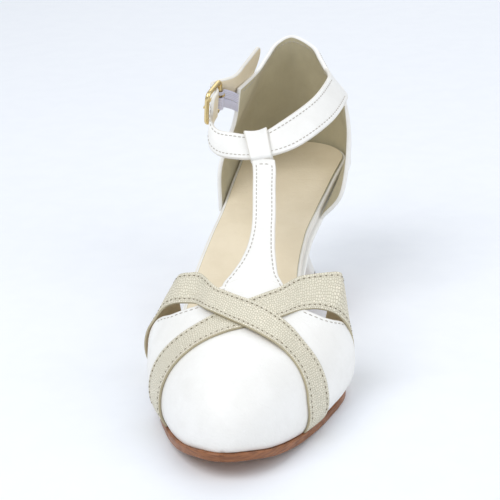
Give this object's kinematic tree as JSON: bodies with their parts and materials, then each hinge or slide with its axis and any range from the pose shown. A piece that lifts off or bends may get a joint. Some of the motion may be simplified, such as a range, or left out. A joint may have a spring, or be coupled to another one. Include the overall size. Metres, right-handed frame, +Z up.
{
  "type": "kitten heel shoe",
  "caption": "Right-foot closed-toe T-strap sandal with crossed instep straps, a buckled ankle strap, a heel cup and a low kitten heel.",
  "frame": {"origin": "middle of the flat forefoot tread, on the floor that the shoe stands on", "axes": "+Z up, +Y from the toe towards the heel, +X towards the medial side of the foot"},
  "size_m": [0.0905, 0.2429, 0.1212],
  "materials": {
    "white_leather": "smooth white leather with a soft sheen",
    "champagne_leather": "champagne metallic leather with a fine reptile grain",
    "heel_cover": "smooth white leather cover",
    "sock_leather": "smooth beige lining leather",
    "sole_leather": "brown stained edge, satin",
    "lift_rubber": "matte dark rubber",
    "gold_metal": "polished pale gold plating",
    "elastic_web": "woven elastic, lavender grey"
  },
  "bodies": {
    "root": {"outsole": "sole_leather", "insole": "white_leather", "insole_sock": "sock_leather", "heel": "heel_cover", "top_lift": "lift_rubber", "vamp": "white_leather", "crossed_straps": "champagne_leather", "quarter": "white_leather", "buckle_frame": "gold_metal", "buckle_prong": "gold_metal", "elastic_gore": "elastic_web"}
  },
  "joints": []
}
